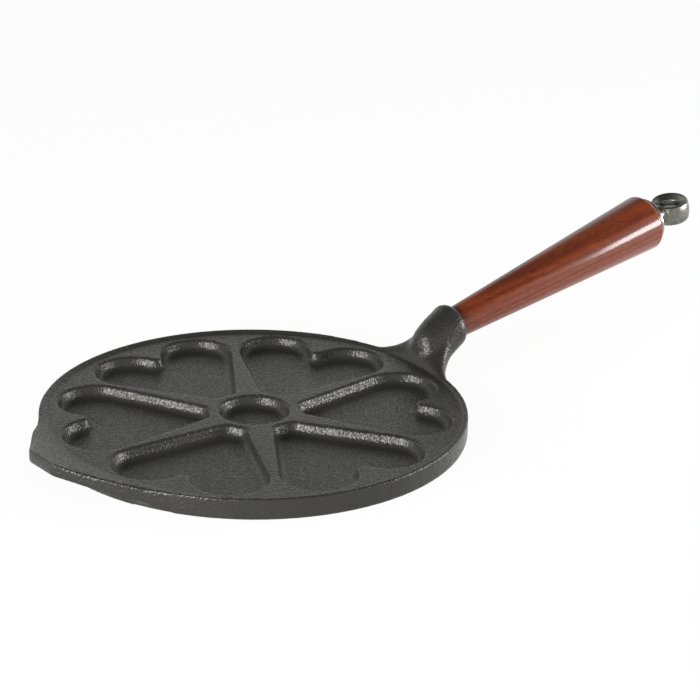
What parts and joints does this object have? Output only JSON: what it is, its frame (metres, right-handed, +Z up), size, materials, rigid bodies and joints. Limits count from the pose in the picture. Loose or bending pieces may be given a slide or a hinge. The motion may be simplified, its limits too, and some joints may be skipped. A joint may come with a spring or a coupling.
{
  "type": "cast iron blini pan",
  "caption": "Flat cast iron pan with a ring of heart wells round a round well, an upturned nose and a turned wooden grip with a hanging eye.",
  "frame": {"origin": "centre of the round plate, on its flat underside", "axes": "+X from the plate's centre towards the handle and its hanging eye, +Z up out of the wells, +Y to the left seen from the nose"},
  "size_m": [0.4626, 0.2294, 0.074],
  "materials": {
    "pan_iron": "fine sand-cast grain, dark grey, seasoned",
    "grip_wood": "red-brown stained hardwood under gloss lacquer",
    "washer_steel": "plain bright",
    "rod_steel": "plain drawn",
    "eye_metal": "smooth cast, bright"
  },
  "bodies": {
    "root": {"pan_casting": "pan_iron", "wooden_grip": "grip_wood", "end_washer": "washer_steel", "tie_rod": "rod_steel", "hanging_eye": "eye_metal"}
  },
  "joints": []
}
